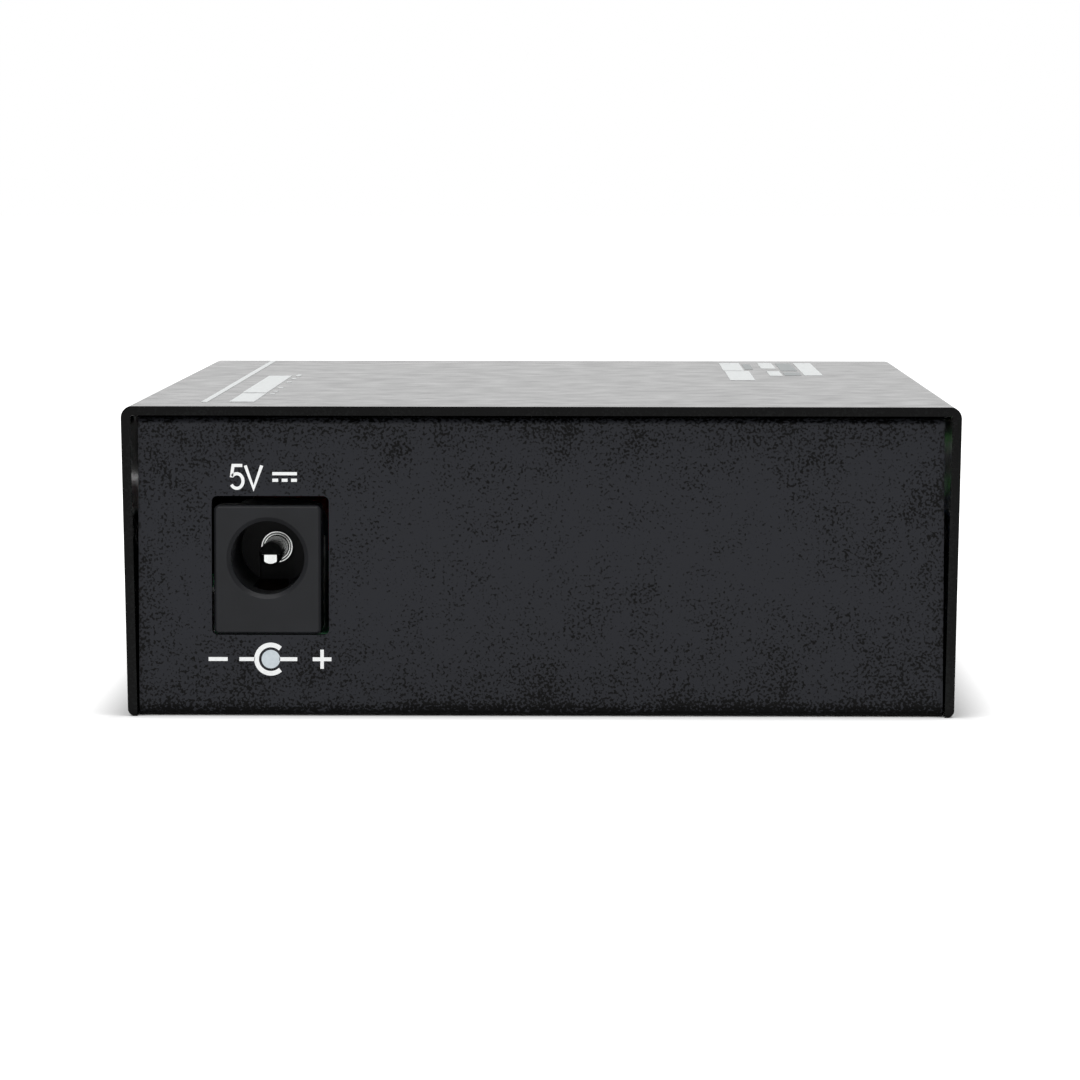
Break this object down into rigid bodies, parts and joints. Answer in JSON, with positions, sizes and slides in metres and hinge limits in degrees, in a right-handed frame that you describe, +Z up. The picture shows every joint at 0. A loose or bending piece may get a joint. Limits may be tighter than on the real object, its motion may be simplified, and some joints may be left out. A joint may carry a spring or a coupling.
{
  "type": "fibre media converter",
  "caption": "Small black folded-steel box with a round DC power inlet at the back, and a copper network socket and a duplex fibre socket at the front.",
  "frame": {"origin": "middle of the box's footprint, on the plane it rests on", "axes": "+Z up; -Y is the side with the network ports, +Y the side with the power inlet; +X is on the right seen from the port side"},
  "size_m": [0.0714, 0.094, 0.0265],
  "materials": {
    "cover_coat": "black powder coat on steel sheet",
    "tray_coat": "black powder coat on steel sheet",
    "black_zinc": "black zinc plate",
    "zinc_plate": "bright zinc plate",
    "board_laminate": "green solder mask on glass-fibre laminate",
    "black_moulding": "glass-filled nylon",
    "nickel_plate": "nickel plate on brass",
    "tin_plate": "tin plate",
    "gold_plate": "gold flash over nickel",
    "green_lens": "tinted clear epoxy",
    "amber_lens": "tinted clear epoxy",
    "blue_moulding": "moulded polyester",
    "cream_moulding": "moulded polyester",
    "steel_optics": "turned stainless steel",
    "red_moulding": "moulded polyester",
    "white_moulding": "moulded nylon",
    "black_epoxy": "moulded epoxy package",
    "ferrite": "pressed ferrite",
    "aluminium_can": "drawn aluminium can",
    "ceramic_body": "fired ceramic chip"
  },
  "bodies": {
    "housing": {"top_cover": "cover_coat", "base_tray": "tray_coat", "cover_screws": "black_zinc", "board_standoffs": "zinc_plate", "board_screws": "zinc_plate", "main_board": "board_laminate", "inlet_body": "black_moulding", "inlet_centre_pin": "nickel_plate", "inlet_pin_terminal": "tin_plate", "inlet_sleeve_spring": "tin_plate", "inlet_shunt_contact": "tin_plate", "lan_housing": "black_moulding", "lan_shield": "tin_plate", "lan_contacts": "gold_plate", "lan_link_lamp": "green_lens", "lan_speed_lamp": "amber_lens", "fibre_housing": "blue_moulding", "fibre_module_lid": "tin_plate", "fibre_transmit_optics": "steel_optics", "fibre_receive_optics": "steel_optics", "fibre_latches": "cream_moulding", "fibre_module_board": "board_laminate", "fibre_module_pins": "gold_plate", "lamp_holder": "black_moulding", "status_lamps": "green_lens", "lamp_leads": "tin_plate", "switch_housing": "red_moulding", "switch_terminals": "tin_plate", "lan_transformer": "black_epoxy", "lan_transformer_leads": "tin_plate", "converter_chip": "black_epoxy", "crystal_can": "nickel_plate", "settings_memory": "black_epoxy", "settings_memory_leads": "tin_plate", "power_inductor": "ferrite", "capacitor_cans": "aluminium_can", "capacitor_leads": "tin_plate", "voltage_regulator": "black_epoxy", "input_fuse": "ceramic_body", "chip_resistors": "black_epoxy", "chip_capacitors": "ceramic_body"},
    "switch_1": {"switch_slider_1": "white_moulding"},
    "switch_2": {"switch_slider_2": "white_moulding"},
    "switch_3": {"switch_slider_3": "white_moulding"},
    "switch_4": {"switch_slider_4": "white_moulding"}
  },
  "joints": [
    {"name": "switch_1_slide", "type": "slide", "parent": "housing", "child": "switch_1", "axis": [0, 0, 1], "range_m": [0, 0.0016]},
    {"name": "switch_2_slide", "type": "slide", "parent": "housing", "child": "switch_2", "axis": [0, 0, 1], "range_m": [0, 0.0016]},
    {"name": "switch_3_slide", "type": "slide", "parent": "housing", "child": "switch_3", "axis": [0, 0, 1], "range_m": [0, 0.0016]},
    {"name": "switch_4_slide", "type": "slide", "parent": "housing", "child": "switch_4", "axis": [0, 0, 1], "range_m": [0, 0.0016]}
  ]
}
